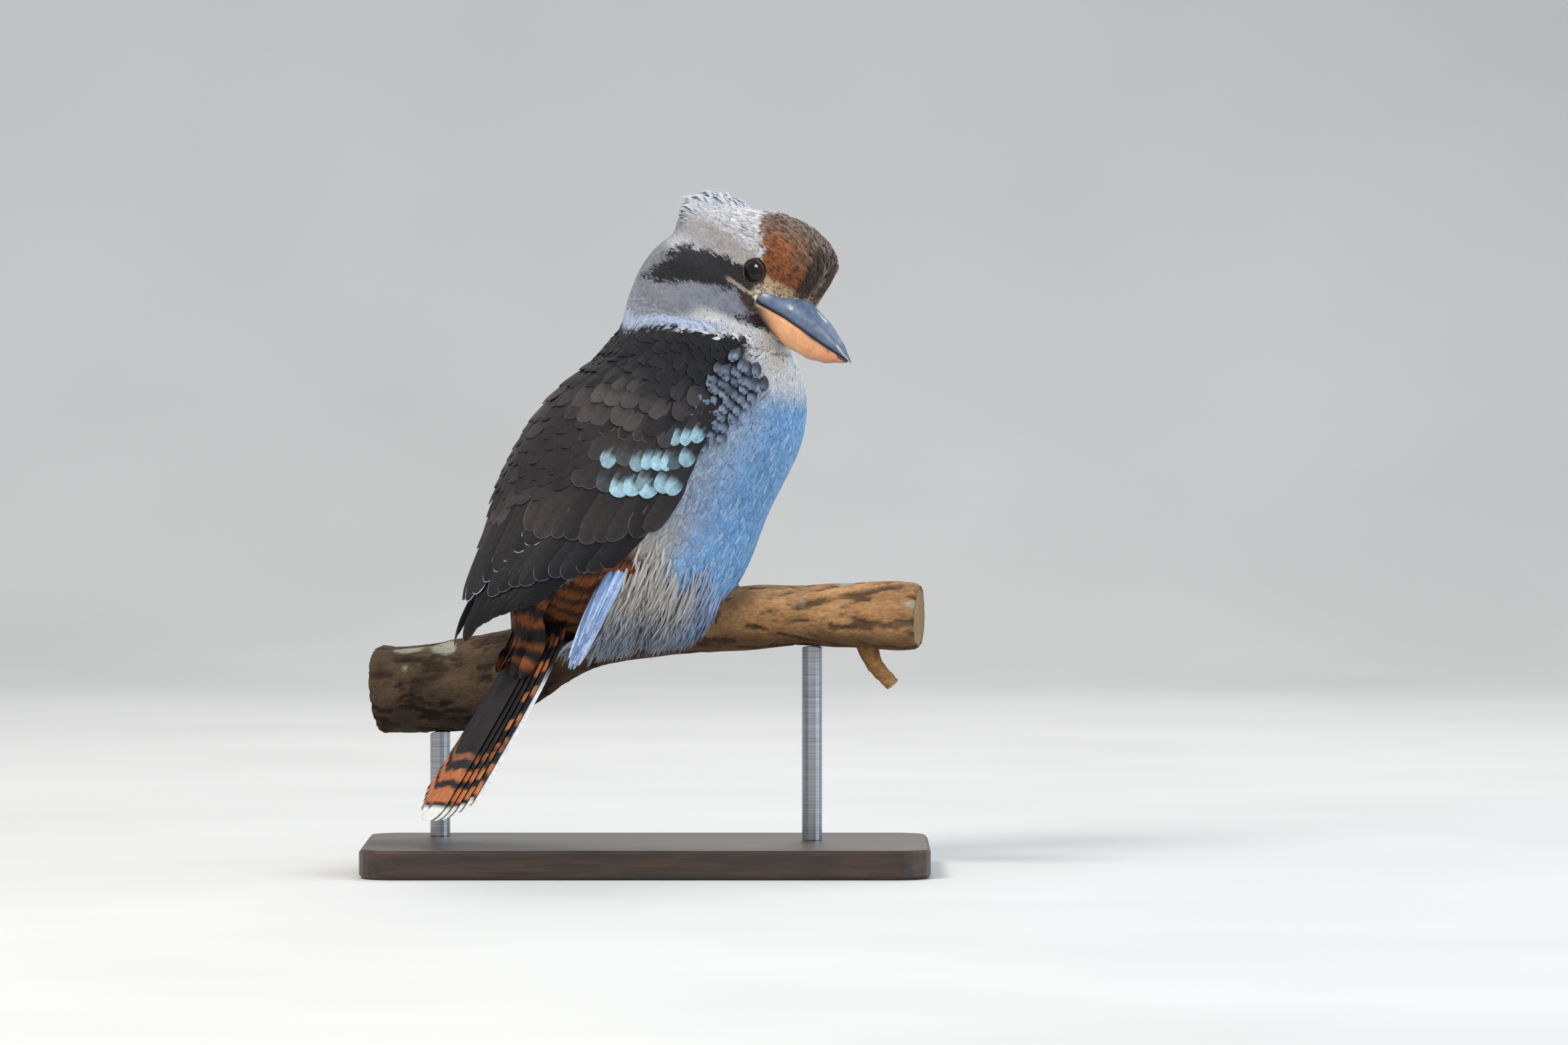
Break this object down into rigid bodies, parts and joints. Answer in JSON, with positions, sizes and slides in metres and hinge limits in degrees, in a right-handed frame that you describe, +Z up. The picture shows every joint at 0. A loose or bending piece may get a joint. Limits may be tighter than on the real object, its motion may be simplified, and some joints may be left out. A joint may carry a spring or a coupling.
{
  "type": "laughing kookaburra on a perch, still museum model",
  "caption": "Life-size still model of a laughing kookaburra, head turned over its shoulder and tail hanging, gripping a cut length of branch held by a plain display stand.",
  "frame": {"origin": "centre of the underside of the stand's base", "axes": "+Z up from the floor the base stands on; +X along the branch, the way the camera sees as right; +Y away from the camera"},
  "size_m": [0.28, 0.1716, 0.3327],
  "materials": {
    "breast_feathers": "soft off-white body feathers with fine grey vermiculation",
    "head_feathers": "short cream feathers with grey and orange-brown mottling and a dark brown ear stripe",
    "wing_feathers": "dark brown vanes with paler soft edges and light blue covert tips",
    "tail_feathers": "black and rufous barred vanes with white outer edges and tips",
    "bill_upper": "satin blue-black horn with worn grey edges",
    "bill_lower": "satin bone-coloured horn with a dark cutting edge",
    "eye": "wet dark brown eye with a maroon rim",
    "foot": "grey-olive scaled skin",
    "claw": "black horn",
    "bark": "rough grey-brown bark, worn golden ochre on the right",
    "base": "satin dark-stained board",
    "rod": "brushed round bar"
  },
  "bodies": {
    "root": {"stand_base": "base", "stand_rod_left": "rod", "stand_rod_right": "rod", "perch": "bark", "torso": "breast_feathers", "neck": "breast_feathers", "thigh_left": "breast_feathers", "thigh_right": "breast_feathers", "head": "head_feathers", "wing_left": "wing_feathers", "wing_right": "wing_feathers", "tail": "tail_feathers", "bill_upper": "bill_upper", "bill_lower": "bill_lower", "eye_left": "eye", "eye_right": "eye", "foot_left": "foot", "foot_right": "foot", "claw_inner_left": "claw", "claw_middle_left": "claw", "claw_outer_left": "claw", "claw_hind_left": "claw", "claw_inner_right": "claw", "claw_middle_right": "claw", "claw_outer_right": "claw", "claw_hind_right": "claw"}
  },
  "joints": []
}
